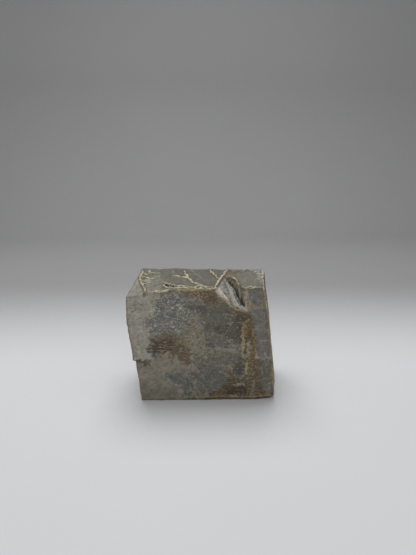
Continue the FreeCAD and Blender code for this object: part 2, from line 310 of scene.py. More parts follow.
FRONT_STROKES = [
    # faint arcs at the upper left
    ("film", (136, 132, 119), 0.35, 0.6, 0.04, [(-5, 61.3), (0, 62.3), (8, 62.2)]),
    ("film", (136, 132, 119), 0.3, 0.6, 0.04, [(-4.5, 59.4), (1, 60.2), (6.5, 59.8)]),
    ("film", (134, 130, 117), 0.3, 0.6, 0.04, [(-2, 57), (3, 57.8), (7.5, 57.2)]),
    ("bare", (98, 94, 82), 0.3, 0.5, -0.04, [(-4, 58.4), (0.5, 59), (6, 58.6)]),
    ("bare", (98, 94, 82), 0.3, 0.5, -0.04, [(-3.5, 55.2), (1.5, 56.2), (6, 55.6)]),
    # soft bands in the beige
    ("film", (106, 94, 60), 1.2, 0.6, 0, [(22.5, 40), (24.5, 37), (26, 34), (27.5, 31)]),
    ("film", (120, 108, 84), 0.7, 0.9, 0.05, [(62, 57.5), (65, 57), (70, 56.5)]),
    ("film", (114, 109, 96), 0.6, 0.9, 0.05, [(23.5, 62.5), (28.5, 60.5), (32.5, 62.5)]),
    ("film", (114, 108, 94), 0.8, 0.8, 0.05, [(25, 20), (25.5, 17), (25, 14)]),
    ("film", (108, 102, 88), 1.2, 0.6, 0, [(30, 13), (31.5, 9), (34.5, 8.5)]),
    # pale bands beside the veins, and the lip of the fold
    ("film", (132, 121, 86), 0.9, 0.85, 0.2, [(60.5, 49.5), (58.5, 46.5), (58, 41), (58, 33.5), (58, 27)]),
    ("film", (134, 124, 94), 0.55, 0.9, 0.2, [(62.5, 45), (63.5, 41), (65, 33.5), (65.5, 25.5)]),
    ("film", (138, 129, 102), 0.7, 0.9, 0.12, [(61, 24), (60.3, 20.5), (60, 16.5)]),
    ("film", (144, 134, 104), 0.4, 0.95, 0.15, [(50.3, 23), (51.5, 19.5), (52.3, 16.5), (54.5, 15.5)]),
    ("film", (150, 142, 116), 0.4, 0.95, 0.15, [
        (42.5, 65.5), (44, 64), (47, 61.5), (49, 59.5), (50.5, 58), (53.5, 56), (56.5, 54.5), (59, 54)]),
    ("film", (132, 118, 84), 0.3, 0.9, 0.1, [(60, 64), (60.8, 62), (61.5, 60), (61.5, 57), (60.5, 55)]),
    ("film", (124, 117, 96), 1.3, 0.6, 0, [(60.5, 37), (61.5, 33), (61, 29), (62, 26)]),
    # pale drags over the dark soap
    ("film", (118, 112, 98), 0.5, 0.9, 0.1, [(47.5, 53), (51, 52), (53.5, 50)]),
    ("film", (116, 110, 94), 0.45, 0.9, 0.1, [(51, 48.5), (56, 48), (59, 47)]),
    ("film", (112, 105, 88), 0.4, 0.8, 0.06, [(49.5, 47), (52, 45)]),
    ("film", (122, 117, 104), 0.7, 0.9, 0.08, [(49.5, 37.5), (51, 36.8), (53, 37)]),
    ("film", (122, 117, 104), 0.6, 0.9, 0.08, [(50, 34.5), (54, 34)]),
    ("film", (116, 112, 99), 0.8, 0.85, 0.05, [(42, 32), (46.5, 32), (51, 31.5), (56, 29)]),
    ("film", (118, 115, 106), 0.6, 0.85, 0.05, [(53, 9.5), (56.5, 10), (60.5, 9)]),
    ("film", (106, 99, 84), 0.7, 0.8, 0, [(64.5, 12), (64.5, 7), (64, 2.5)]),
    ("film", (108, 104, 92), 0.7, 0.8, 0, [(44, 18), (47.5, 17), (50.5, 15)]),
    ("film", (126, 120, 102), 0.45, 0.9, 0.06, [(65, 38), (68, 37), (71, 37), (73.5, 37.5)]),
    # a pale ochre line along the foot, ochre and partly a painted highlight on the edge
    ("film", (112, 102, 78), 0.5, 0.9, 0.08, [(27, 2), (39, 2), (54, 2.2), (76, 2.4)]),
    # dark lines beside the veins and in the stain, and along the foot dark lines of painted shadow
    # where the block meets the floor
    ("bare", (60, 49, 30), 0.45, 0.9, -0.1, [(56.5, 46.5), (56.5, 41), (56.5, 34.5)]),
    ("bare", (66, 51, 29), 0.6, 0.9, -0.1, [(60.5, 47), (61.5, 42.5), (62.5, 38), (63, 33)]),
    ("bare", (46, 40, 28), 0.4, 0.95, -0.12, [(7, 36), (11, 35.5), (15, 35.5), (18, 36.5)]),
    ("bare", (46, 40, 28), 0.4, 0.95, -0.12, [(6.5, 34), (13, 33.8), (20, 34.2)]),
    ("bare", (46, 40, 28), 0.4, 0.95, -0.12, [(2.5, 33), (6.5, 32.2), (12, 32), (18.5, 32)]),
    ("bare", (50, 44, 31), 0.35, 0.9, -0.1, [(3, 31.5), (6.5, 30.3), (13, 30.4)]),
    ("film", (108, 96, 66), 0.28, 0.85, 0.06, [(9, 37), (13, 36.6), (19.5, 37)]),
    ("film", (108, 96, 66), 0.28, 0.85, 0.06, [(5.5, 35), (11, 34.6), (19.5, 35.2)]),
    ("film", (112, 101, 74), 0.28, 0.85, 0.06, [(3, 33.8), (8, 33.1), (19, 33.1)]),
    ("film", (112, 101, 74), 0.28, 0.85, 0.06, [(6, 31.2), (12, 31.2), (19, 30.8)]),
    ("film", (114, 98, 56), 0.4, 0.7, 0.08, [(21, 38), (23, 35), (23.5, 31.5)]),
    # painted shadow along the foot, where the block meets the floor
    ("bare", (44, 38, 28), 0.55, 0.9, -0.1, [(24, 0.4), (54, 0.3), (77, 0.4)]),
    ("bare", (70, 64, 51), 0.45, 0.7, -0.05, [(-1, 0.5), (12, 0.5), (24, 0.5)]),
]

# Golden veins that stand out of the front, as (half width, relief, line in x and z)

FRONT_VEINS = [
    (0.75, 0.28, [(58, 54.5), (60.5, 52.5), (61.5, 50), (60.5, 46.5), (60, 41)]),
    (0.5, 0.2, [(59, 47.5), (59, 44), (59.2, 40)]),
    (0.6, 0.25, [(61.5, 48.5), (62.5, 42), (64, 38), (64.5, 32), (64, 26)]),
    (1.15, 0.3, [(62.2, 25.5), (62.5, 20), (61.5, 16)]),
    (0.6, 0.25, [(49.5, 23), (50.5, 18.5), (51.5, 16.5), (54, 14.5)]),
    (0.38, 0.15, [(43, 63), (46, 60.8), (48.5, 58.5), (50, 57), (53, 55.2), (57, 53.8)]),
    (0.45, 0.1, [(42.5, 64), (42.5, 58)]),
    (0.3, 0.05, [(7, 37.2), (11.5, 38.8), (17.5, 41), (20.5, 39)]),
    (0.45, 0.1, [(67.5, 22.5), (67, 18), (68, 13.5)]),
]

# Rusty spots of the front, as (x, z, radius)

FRONT_SPOTS = [
    (69.5, 54.5, 0.9), (67, 32.5, 0.8), (69.5, 24, 1), (67.5, 57, 0.5), (72, 45.5, 0.5), (12, 27.5, 0.9),
    (33.5, 26.5, 0.8), (-3.5, 28, 0.9), (27, 24.5, 0.8), (24, 26.5, 0.7), (2.5, 24, 1.1), (-1.5, 56.5, 0.5),
    (7.5, 37.5, 0.6), (61.5, 19, 0.7), (45.5, 26.5, 0.5), (74, 26, 0.8), (22, 24.5, 0.6), (53, 55, 0.8),
    (51, 52.5, 0.6), (60, 24.5, 0.6), (61, 28.5, 0.5), (55, 6.5, 0.7), (3.5, 64, 1.2), (30.5, 2.5, 1),
    (46.5, 12, 0.9), (70.5, 3, 1), (48, 2.5, 1), (18.5, 1.8, 0.8), (26, 3, 0.6), (65, 14.5, 0.8),
]

# Patches of the top, as those of the front, with outlines in x and y

TOP_AREAS = [
    ("bare", (84, 81, 66), 2, 0.3, 0, 0, [
        (15.5, 42.5), (27.5, 43), (25.5, 29.5), (23.5, 21.5), (15.5, 21)]),
    ("bare", (87, 88, 76), 1.5, 0.3, 0, -0.15, [
        (16.5, 19), (27.5, 19.5), (30.5, 12), (25.5, 7), (17.5, 8.5)]),
    ("bare", (82, 81, 69), 1.5, 0.3, 0, -0.2, [
        (27.5, 43), (39.5, 44), (43.5, 20.5), (41.5, 8.5), (34.5, 9), (29.5, 20)]),
    ("bare", (90, 86, 74), 1.8, 0.35, 0, 0, [
        (36.5, 32), (39.5, 31), (39.5, 14), (35.5, 13), (34.5, 20)]),
    ("bare", (87, 82, 66), 1.2, 0.25, 0, -0.2, [
        (42, 44.5), (50.5, 45), (49.5, 34), (46, 20.5), (43, 30.5)]),
    ("bare", (98, 99, 87), 1.5, 0.32, 0, -0.2, [
        (55.5, 31), (59.5, 36.5), (66.5, 38.5), (68.5, 10.5), (65.5, 5.5), (58.5, 5.5), (56, 16)]),
    ("film", (124, 122, 110), 2, 0.6, 0, 0, [(1.5, 25), (11.5, 29), (13.5, -0.5), (5.5, -4)]),
    ("film", (130, 128, 115), 2, 0.85, 0, 0.1, [
        (-10.5, 47), (-1.5, 47), (-0.5, 19.5), (3.5, -4), (-10.5, -3.5)]),
    ("film", (133, 130, 118), 1, 0.8, 0, 0.1, [
        (68, 47.5), (77.5, 48.5), (77.5, -4), (69.5, -4), (68, 13)]),
    ("bare", (98, 91, 76), 1.6, 0.1, 0, -0.1, [
        (13.5, 46.5), (65.5, 51), (65.5, 42.5), (39.5, 39), (13.5, 38.5)]),
    ("film", (120, 107, 78), 1, 0.75, 0, 0.1, [
        (52.5, 41), (62.5, 43), (59.5, 37.5), (55.5, 35.5), (52.5, 37)]),
    ("bare", (82, 68, 47), 0.8, 0.05, 0, -0.15, [
        (52, 38), (54.5, 35), (57, 34.5), (55, 32.5), (52.5, 34)]),
    ("film", (121, 106, 74), 1, 0.7, 0, 0.15, [
        (20.5, 2.5), (29.5, 4), (43.5, 4), (43.5, -3.5), (19.5, -4)]),
    ("film", (130, 120, 95), 0.9, 0.7, 0, 0.1, [(18.5, 8), (26.5, 6.5), (28.5, 4), (19.5, 2.5)]),
    ("bare", (112, 94, 70), 0.8, 0.2, 0, 0.1, [(50, 29.5), (52.5, 28), (53.5, 22), (51.5, 23)]),
    ("film", (138, 132, 110), 1, 0.7, 0, 0.2, [(1, 25), (4.5, 24.5), (7, 19), (5, 17), (2, 19.5)]),
    ("film", (112, 104, 86), 0.8, 0.6, 0, 0, [
        (25.5, 21.5), (28, 18.5), (29, 14), (27, 13), (25.5, 16.5)]),
    ("bare", (98, 82, 62), 0.8, 0.15, 0, 0, [(41.5, 4.5), (45, 5.5), (44.5, 1.5), (41.5, 1)]),
]

# Strokes of the top, with lines in x and y: a brown curl at the rear, painted shade beside the
# ridges, and soft streaks over the facets

TOP_STROKES = [
    ("bare", (88, 66, 36), 1, 0.95, 0.35, [
        (51.5, 38.4), (52.4, 34.6), (54.5, 33.6), (57.5, 36), (60, 38.6)]),
    ("film", (132, 120, 92), 0.5, 0.9, 0.3, [(53, 36.6), (55.4, 35.6), (57.8, 38)]),
    ("bare", (92, 88, 70), 1, 0.6, -0.05, [(42.2, 38), (43.8, 30), (46, 23.5)]),
    ("bare", (90, 86, 68), 0.9, 0.6, -0.05, [(30.5, 16), (33.4, 11.4), (37, 8)]),
    ("bare", (92, 88, 72), 1.1, 0.6, 0, [(57, 33), (60, 37), (66, 36.5)]),
    ("film", (126, 122, 106), 0.8, 0.5, 0, [(29, 40), (32, 30), (36, 20)]),
    ("film", (124, 122, 108), 0.7, 0.5, 0, [(58, 12), (61, 22), (65, 30)]),
    ("film", (124, 120, 106), 0.7, 0.5, 0, [(61, 6), (64.5, 14), (67.5, 22)]),
    ("film", (122, 118, 100), 0.7, 0.5, 0, [(17, 38), (18.5, 30), (20, 26)]),
    ("bare", (88, 84, 66), 0.6, 0.7, 0, [(16, 10), (22, 9), (28, 8.4), (31, 9.5)]),
    ("bare", (130, 78, 52), 0.8, 0.8, 0, [(55.4, 8.2), (56, 6)]),
]

# The slopes of the fold, also from above. The first two share one outline.

FOLD_OUTLINE = [(40, -4), (44, 14), (48, 27), (56, 18), (62, -4)]

FOLD_AREAS = [
    ("film", (150, 149, 141), 0.6, 0.85, 0.5, 0, FOLD_OUTLINE),
    ("bare", (106, 105, 97), 0.6, 0.85, 0.5, 0, FOLD_OUTLINE),
    # mint strip on the left, up to the ochre line, and the brown lip under it
    ("film", (182, 178, 168), 0.4, 0.9, 0, 0.1, [
        (40, -4), (42.5, 2), (43.5, 8), (45.5, 9), (47.5, 7), (48.5, 5), (49.5, 3.5), (50, 0.5), (50.5, -4)]),
    ("bare", (124, 116, 86), 0.4, 0.3, 0, 0, [
        (46.5, -4), (48.5, -0.5), (50.5, 0.5), (54, 0.5), (56, -4)]),
    # greyer floor along the crease, and the brown far end
    ("bare", (108, 109, 103), 0.6, 0.3, 0.6, 0, [
        (52, 15), (53.5, 14.5), (54, 9.5), (55, 5), (55.5, 2), (54, 2.5), (53, 7), (52, 11)]),
    ("bare", (116, 88, 58), 0.7, 0.2, 0.3, -0.1, [
        (46.5, 29), (47.5, 24.5), (49.5, 23.5), (52.5, 24), (52.5, 29)]),
    ("bare", (64, 59, 46), 0.5, 0.05, 0.3, -0.2, [
        (49, 25), (51.5, 23.5), (52, 20.5), (50.5, 19.5), (49.5, 22)]),
]

# The bank right of the crease, as (layer, colour at the front, colour at the far end). Its colours are
# painted paler than the soap beside it: painted light against the shade on the steep bank.

BANK_WITH_PAINTED_LIGHT = [("film", (148, 140, 121), (128, 112, 84)), ("bare", (106, 98, 81), (84, 74, 52))]

# Streaks down the fold, as those of the front, with lines in x and y

FOLD_STROKES = [
    ("bare", (104, 102, 95), 0.4, 0.9, -0.1, [(47.5, 21), (48.5, 17), (49.5, 11), (50.5, 6.5), (52, 2.5)]),
    ("bare", (94, 93, 86), 0.45, 0.9, -0.1, [(52, 16.5), (53, 12), (53.3, 8), (54, 4.5), (54.8, 2)]),
    ("film", (163, 162, 153), 0.45, 0.9, 0.1, [(50.5, 14.5), (51.3, 11), (51.8, 7.5), (53, 3.5), (54, 1)]),
    ("film", (172, 168, 152), 0.35, 0.9, 0.1, [(44.8, 6.5), (46, 5), (47.8, 2.5), (48.6, 0.5)]),
    ("bare", (74, 66, 50), 0.35, 0.9, -0.1, [(49.5, 24), (51, 21.5), (51.8, 19)]),
    ("film", (150, 138, 110), 0.35, 0.9, 0.1, [(50.8, 24.8), (52.2, 22.5), (53.3, 19.5)]),
]

# Ochre veins in the fold, as (half width, line in x and y)

FOLD_VEINS = [
    (0.65, [(46.3, 7.8), (47.4, 6.6), (48.3, 4.8), (49.3, 3.2), (49.6, 0.9), (50.4, -0.5)]),
]

# Ridges of the top, as (half width, height as a share, line in x and y)

TOP_RIDGES = [
    # left, with its branch
    (0.7, 1, [(24.6, 35.5), (25.4, 29), (26.7, 23), (28.2, 18), (29.8, 13.6), (32.4, 9.8), (35.9, 6.3),
              (39.4, 4.6), (42.9, 3.4)]),
    (0.8, 0.9, [(17.8, 24.6), (21.4, 24), (24.1, 22.7), (27.4, 20)]),
    # the two that meet left of the fold
    (0.5, 0.9, [(39.9, 40), (41.2, 33), (43.2, 26), (44.8, 20), (45.8, 16.4)]),
    (0.58, 1, [(51.2, 40.6), (50, 35), (48.2, 28.4), (46.4, 21.5), (44.8, 15.6), (43.4, 9), (42.4, 2.6)]),
    # along the right of the fold and out to the corner
    (0.48, 0.9, [(49.4, 26.4), (51.4, 24.6), (53.4, 21.4), (54.9, 16.5), (55.1, 10), (55.6, 6.2),
                 (57.2, 3.4), (59.6, 1.3), (63.5, 0.9), (69, 1.3)]),
    # at the rear edge and at the right edge
    (0.45, 0.7, [(59.5, 36.6), (63.4, 40.4), (66.5, 38), (69.8, 37.4)]),
    (0.55, 0.8, [(72.6, 39.4), (72.1, 32), (71.4, 25), (70.4, 16), (69.4, 8)]),
    (0.45, 0.6, [(66.6, 33.6), (68.2, 35.6), (70.4, 35)]),
    (0.45, 0.6, [(66.8, 31), (69, 29.6), (71.6, 29.8)]),
    # crust along the left, with its spurs
    (0.6, 0.8, [(-0.5, 38), (-0.8, 30), (-0.9, 23.6), (0.8, 16.8), (2.6, 9.8), (4.4, 1.4)]),
    (0.6, 0.7, [(-0.4, 27), (2, 26), (4, 23.4), (6.7, 21.8)]),
    (0.55, 0.6, [(0, 17.4), (3, 15), (6, 15.4)]),
    (0.55, 0.6, [(3.1, 37.2), (4, 32.9), (8.6, 31.2), (10.4, 31.8)]),
    (0.5, 0.5, [(0.4, 33), (2.2, 30), (4, 32.9)]),
    (0.4, 0.6, [(4.4, 1.4), (8, 0.9), (12.2, 0.8), (18, 1), (22, 1.6)]),
    # lips of the hollow, and the lace of crust right of it
    (0.6, 0.8, [(13.6, 13), (17.4, 10), (21.2, 6.8), (24, 6.4), (27.6, 6), (29, 4), (31, 4.4), (33, 6.2),
                (33.6, 9)]),
    (0.5, 0.8, [(14, 10.4), (14.4, 7.4), (15.6, 4.4), (19.2, 3.4), (23, 3.4), (26, 2.4), (29, 2.2)]),
    (0.45, 0.7, [(22.6, 6.6), (22, 5), (23, 3.4)]),
    (0.45, 0.7, [(25.6, 6.2), (25.2, 4.6), (26.4, 2.6)]),
    (0.5, 0.7, [(30.6, 4.2), (31.6, 2.2), (34, 1.4)]),
    (0.5, 0.7, [(33.6, 8.4), (34.8, 5.4), (34.2, 2.8), (36, 1.4)]),
    (0.5, 0.7, [(36, 5.8), (37.6, 3.6), (37.4, 1.6)]),
    (0.55, 0.7, [(38.4, 1.6), (41.2, 1.6), (43, 2.6)]),
    (0.45, 0.5, [(59.8, 3.8), (62.4, 5), (66, 4.6)]),
]

# The hollow of the top, as (depth, outline in x and y), and its pits, as (x, y, radius)

HOLLOW = (2.2, [(13.8, 12), (15.3, 5.4), (21.5, 7.2)])
PIT_DEPTH = 0.9
PITS = [(24, 4.8, 1), (27.4, 4.4, 0.9), (30, 5.6, 0.5), (32.6, 3.6, 0.9), (36, 3.4, 0.8), (40, 3, 0.8),
        (20.8, 5, 0.5), (69.2, 32.4, 0.9), (47.8, 6.4, 0.8), (46.6, 1.8, 0.45), (48, 3.2, 0.35),
        (11.2, 36, 0.9), (12, 33, 0.5), (2.4, 12.8, 0.6), (1.4, 24.8, 0.6), (3.6, 0.4, 0.9)]

# Lines along the worn edges, as (one side, the other side, width, seed), and the film on them

PALE_EDGES = [("front", "right", 1.5, 41), ("front", "left", 0.5, 47)]
CREAM_EDGES = [("front", "right", 0.5, 42), ("top", "right", 0.8, 45), ("top", "left", 0.5, 47),
               ("rear", "top", 0.3, 49)]
BROWN_EDGES = [("front", "left", 0.5, 61), ("rear", "top", 0.7, 65), ("rear", "left", 0.6, 69),
               ("rear", "right", 0.8, 71)]
EDGE_COLOUR = (136, 126, 98)


# The block

def lines(length_mm, spacing):
    """Where the mesh lines cross an edge: spacing gives the wanted distance at each place, and the
    lines stand where the running total of 1 / spacing reaches whole steps."""
    fine = np.linspace(0.0, length_mm, 4001)
    wanted = spacing(fine)
    total = np.concatenate([[0.0], np.cumsum(0.5 * (1 / wanted[1:] + 1 / wanted[:-1]) * np.diff(fine))])
    count = int(round(total[-1]))
    return np.interp(np.linspace(0.0, total[-1], count + 1), total, fine)


def quads(grid):
    """The faces of a grid of corner numbers, four corners to each."""
    return np.stack([grid[:-1, :-1], grid[1:, :-1], grid[1:, 1:], grid[:-1, 1:]], axis=-1).reshape(-1, 4)


def shell(nx, ny, nz):
    """The outer faces of a lattice of nx by ny by nz cells, wound to face outwards. Each corner has
    the key (i * (ny + 1) + j) * (nz + 1) + k, so faces on two sides share their corners."""

    def key(i, j, k):
        return (i * (ny + 1) + j) * (nz + 1) + k

    i, j, k = np.arange(nx + 1), np.arange(ny + 1), np.arange(nz + 1)
    sides = [
        quads(key(i[:, None], 0, k[None, :])),
        quads(key(i[:, None], ny, k[None, :]))[:, ::-1],
        quads(key(0, j[:, None], k[None, :]))[:, ::-1],
        quads(key(nx, j[:, None], k[None, :])),
        quads(key(i[:, None], j[None, :], 0))[:, ::-1],
        quads(key(i[:, None], j[None, :], nz)),
    ]
    keys, index = np.unique(np.concatenate(sides), return_inverse=True)
    corners = np.stack([keys // ((ny + 1) * (nz + 1)), keys // (nz + 1) % (ny + 1), keys % (nz + 1)], 1)
    return corners, index.reshape(-1, 4)


def worn_box(places, size, radius):
    """A box with rounded edges: each place is pushed out from the nearest place of the box shrunk
    by radius, to radius away from it. Gives the place and its outward direction."""
    inner = np.clip(places, radius[:, None], size - radius[:, None])
    away = places - inner
    away /= np.linalg.norm(away, axis=1, keepdims=True)
    return inner + away * radius[:, None], away


def follow(value, curve):
    """The height of a curve at a value: straight between its points, which are (value, height)."""
    at, height = np.array(curve, float).T
    return np.interp(value, at, height)


# The crease of the fold, as (share of the reach, x, width of the bank on its right), and how far down
# it lies, as (share of the reach, share of the drop)

CREASE = [(0, 58.4, 1.9), (0.06, 57.2, 1.6), (0.10, 56.7, 1.2), (0.15, 55.9, 1.0), (0.26, 55.0, 0.7),
          (0.34, 54.6, 0.8), (0.40, 54.2, 1.0), (0.54, 53.8, 1.2), (0.63, 53.0, 1.6), (0.70, 51.6, 2.3),
          (0.82, 50.5, 2.2), (0.93, 49.6, 1.8), (1.05, 48.8, 1.4)]
CREASE_DROP = [(0, 1), (0.06, 0.80), (1, 0)]

# x of the fold's left end at the front edge, how far right of that it is at the full reach, and a
# floor so high that it cuts nothing off

FOLD_LEFT = 41.6
FOLD_LEFT_SHIFT = 7.0
NO_FLOOR = 1000.0


def fold_floor(x, y, mm):
    """Height of the fold above the underside, how near the crease is, and where each place lies: the
    share of the reach, how wide the crease is there, how far past it the place is and how far above.
    Seen from above, the crease wanders from the front edge to the fold's far end, and climbs as it
    goes. The floor falls to it from the left as a power of 1.5 of the distance, and climbs a steep
    bank on the right as a power of 0.65."""
    reach = y / mm["fold_reach"]
    at, line, bank = np.array(CREASE).T
    crease = np.interp(reach, at, line)
    left = FOLD_LEFT + FOLD_LEFT_SHIFT * reach
    low = mm["height"] - mm["fold_drop"] * follow(reach, CREASE_DROP)
    up_left = np.clip((crease - x) / np.maximum(crease - left, 0.5), 0.0, 4.0) ** 1.5
    up_right = np.clip((x - crease) / np.interp(reach, at, bank), 0.0, 4.0) ** 0.65
    slopes = low + (mm["height"] - low) * np.maximum(up_left, up_right)
    floor = np.where(reach < 1.0, slopes, NO_FLOOR)
    wide = 0.30 + 0.30 * smooth(reach, 0.45, 0.8)
    near = np.exp(-((x - crease) / wide) ** 2)
    near *= (1.0 - smooth(reach, 0.86, 1.0)) * smooth(reach, 0.03, 0.14)
    return floor, near, {"reach": reach, "wide": wide, "past": x - crease, "climb": floor - low}


# How the block differs from a straight one: the lean of the left edge, as (height over the step's,
# share of the lean), the bulge of the right one, as (share of the height, share of the bulge), and
# the top edges at the front and the rear, as (x, how far above the height)

LEAN_CURVE = [(0, 0), (1, 0.36), (1.3, 0.60), (1.55, 0.81), (1.72, 0.92), (1.95, 0.98), (2.2, 1)]
BULGE_CURVE = [(0, 0), (0.46, 0.55), (0.74, 1), (0.93, 0.3), (1, 0)]
FRONT_TOP = [(1.5, -2.6), (7, -1.8), (12.4, -1), (17.8, -0.2), (34, -0.5), (41.7, -0.6), (60, 0), (66, 0.3),
             (69.6, 0)]
REAR_TOP = [(-2, 0.8), (16, 0.9), (34, 0.6), (60, 0), (74, -0.4)]

# Where the overhang of the step starts and ends fading, in z, and its share that is gone at the rear

STEP_FADE = (27, 38)
STEP_REAR_LOSS = 0.6

# Where the mesh is closest along x, so that the crease is drawn well

CLOSE_X = 62.5


def mesh_lines(mm):
    """Where the mesh lines cross x, y and z: closer near the edges, the crease and the step, and wider
    towards the rear and the foot."""
    w, d, h = mm["bottom_width"], mm["depth"], mm["height"]

    def near_ends(v, end):
        return mm["spacing"] * (0.45 + 0.55 * smooth(np.minimum(v, end - v), 0.8, 3.0))

    def close_to(v, middle, reach, power):
        return 1 - 0.45 * np.exp(-((v - middle) / reach) ** power)

    xs = lines(w, lambda v: near_ends(v, w) * close_to(v, CLOSE_X, 6.0, 4))
    ys = lines(d, lambda v: near_ends(v, d) * (1 + 0.35 * smooth(v, 8, 30)))
    zs = lines(h, lambda v: near_ends(v, h) * (1 + 0.25 * smooth(-v, -22, -4))
               * close_to(v, mm["step_height"] + 0.4, 1.2, 2))
    return xs, ys, zs


def side_edges(up, back, mm):
    """x of the left and right edges at a share of the height and of the depth. The left edge leans out
    along its curve and stands out further over the step. The right edge is straight but for its
    bulge. Both move to the right towards the top of the rear, the left one a little further."""
    z = up * mm["height"]
    step_here = mm["step_height"] + 0.3 * waves(back[:, None] * mm["depth"], 9.0, 5)
    over = smooth(z, step_here - 0.35, step_here + 0.35) * (1 - smooth(z, *STEP_FADE))
    left = -mm["lean"] * follow(z / mm["step_height"], LEAN_CURVE)
    left -= mm["step_out"] * (1.0 - STEP_REAR_LOSS * back) * over
    right = mm["bottom_width"] + (mm["top_width"] - mm["lean"] - mm["bottom_width"]) * up
    right += mm["bulge"] * follow(up, BULGE_CURVE)
    shift = mm["rear_shift"] * back * up
    return left + 1.2 * shift, right + shift


def block_places(mm):
    """Every corner of the block's mesh, its outward direction, the face list, and what the coats need
    to know of each corner. The rounded box is sheared to the block's outline: x runs between the left
    and right edges at its height, and z is the share of the height times the height of the top."""
    box = np.array([mm["bottom_width"], mm["depth"], mm["height"]])
    w, d, h = box
    xs, ys, zs = mesh_lines(mm)
    corners, faces = shell(len(xs) - 1, len(ys) - 1, len(zs) - 1)
    raw = np.stack([xs[corners[:, 0]], ys[corners[:, 1]], zs[corners[:, 2]]], axis=1)
    # the bottom right corner is rounder, and the front's foot is sharper
    foot_corner = np.exp(-((w - raw[:, 0]) ** 2 + raw[:, 2] ** 2) / 60.0)
    front_foot = np.exp(-(raw[:, 1] ** 2 + raw[:, 2] ** 2) / 30.0)
    radius = mm["wear"] * (1.0 + wobble(raw, (0.22, 9.0, 3), (0.10, 3.0, 4))) * (1.0 - 0.25 * front_foot)
    radius = np.clip(radius, 0.45, 2.4) + (mm["foot_wear"] - mm["wear"]) * foot_corner
    worn, away = worn_box(raw, box, radius)
    across, back, up = (worn / box).T
    y = worn[:, 1]

    left, right = side_edges(np.ones_like(up), back, mm)
    over_x = left + across * (right - left)
    front_top = h + follow(over_x, [(-mm["lean"], mm["left_height"] - h)] + FRONT_TOP)
    rear_top = h + follow(over_x, REAR_TOP)
    plain_top = front_top + (rear_top - front_top) * back
    floor, near, fold = fold_floor(over_x, y, mm)
    cut = np.minimum(floor - plain_top, 0.0)
    z = up * plain_top + up * up * cut
    left, right = side_edges(z / plain_top, back, mm)
    x = left + across * (right - left)
    over = {
        "over_x": over_x,
        "cut": cut * smooth(up, 0.97, 1.0),
        "crease": near * smooth(up, 0.93, 1.0) * np.clip(away[:, 2], 0, 1),
        "gaps": {"left": across * w, "right": (1 - across) * w, "front": y, "rear": d - y,
                 "top": (1 - up) * h},
        **fold}
    return np.stack([x, y, z], axis=1), away, faces, over


# Coats: what is painted on each side of the block

def brush(coat, mask, layer, colour, cover, relief, drag=None):
    """Move the colour of a layer, the cover and the drag of a coat towards new ones by a mask, and add
    relief by it."""
    coat[layer] += (np.array(colour, float) - coat[layer]) * mask[:, None]
    coat["cover"] += (cover - coat["cover"]) * mask
    coat["relief"] += relief * mask
    if drag is not None:
        coat["drag"] += (drag - coat["drag"]) * mask


def lay(table, a, b, coat, strength=1.0):
    """Paint areas in turn over a coat: each one's mask is 1 inside its outline and eases to 0 over
    its softness."""
    for layer, colour, soft, cover, drag, relief, outline in table:
        mask = strength * smooth(area_distance(outline, a, b), -0.7 * soft, 0.7 * soft)
        brush(coat, mask, layer, colour, cover, relief, drag)


def paint_lines(table, a, b, coat, share=1.0):
    """Paint strokes in turn over a coat: a stroke of film brings its cover, and one of bare soap takes
    it away."""
    for layer, colour, width, strength, relief, line in table:
        mask = share * strength * smooth(run_distance(line, a, b, width), -0.3, 0.3)
        brush(coat, mask, layer, colour, STROKE_COVER[layer], relief)


def fresh_coat(count, bare, film, cover):
    """A coat of two colours with little drag, no relief, and no vein, spot or ridge near."""
    coat = {name: np.full(count, -3.0) for name in ("vein", "spot", "ridge")}
    for name, colour in (("bare", bare), ("film", film)):
        coat[name] = np.tile(255.0 * np.array(colour), (count, 1))
    coat.update(cover=np.full(count, cover), drag=np.full(count, 0.1), relief=np.zeros(count))
    return coat


def front_coat(places, colours):
    """The front: areas, strokes, veins and spots at places in x and z, which waver."""
    flat = places[:, [0, 2]]
    a = flat[:, 0] + wobble(flat, (0.7, 6.0, 11), (0.45, 2.2, 12), (0.4, 1.3, 51))
    b = flat[:, 1] + wobble(flat, (0.6, 5.0, 13), (0.45, 2.0, 14), (0.4, 1.3, 52))
    coat = fresh_coat(len(flat), colours.bare, colours.film, 0.5)
    lay(FRONT_AREAS, a, b, coat)
    cloud = wobble(flat, (0.03, 7.0, 53), (0.03, 2.6, 54))
    for layer in ("bare", "film"):
        coat[layer] *= (1.0 + cloud)[:, None]
    a = flat[:, 0] + 0.25 * waves(flat, 3.0, 15)
    b = flat[:, 1] + 0.25 * waves(flat, 3.0, 16)
    paint_lines(FRONT_STROKES, a, b, coat)
    for width, relief, line in FRONT_VEINS:
        d = run_distance(line, a, b, width)
        coat["vein"] = np.maximum(coat["vein"], d)
        coat["relief"] += relief * smooth(d, -0.4, 0.5)
    for x, z, radius in FRONT_SPOTS:
        coat["spot"] = np.maximum(coat["spot"], radius - np.hypot(a - x, b - z))
    coat["relief"] += wobble(flat, (0.10, 16.0, 17), (0.05, 5.0, 18))
    return coat


def paint_bank(y, over, coat, inside):
    """The bank right of the crease, in the colours of the bank's table, streaked along y. These are painted
    paler than the soap beside it: painted light against the shade on the steep bank.
    """
    mask = inside * smooth(over["past"], -0.45, -0.1)
    far = smooth(over["reach"] + 0.03 * waves(y, 5.0, 58), 0.55, 0.75)
    streak = 1.0 + 0.07 * waves(y, 4.0, 59)
    for layer, near_colour, far_colour in BANK_WITH_PAINTED_LIGHT:
        colour = np.array(near_colour) * (1 - far)[:, None] + np.array(far_colour) * far[:, None]
        coat[layer] += (colour * streak[:, None] - coat[layer]) * mask[:, None]
    coat["cover"] += (0.75 - 0.35 * far - coat["cover"]) * mask


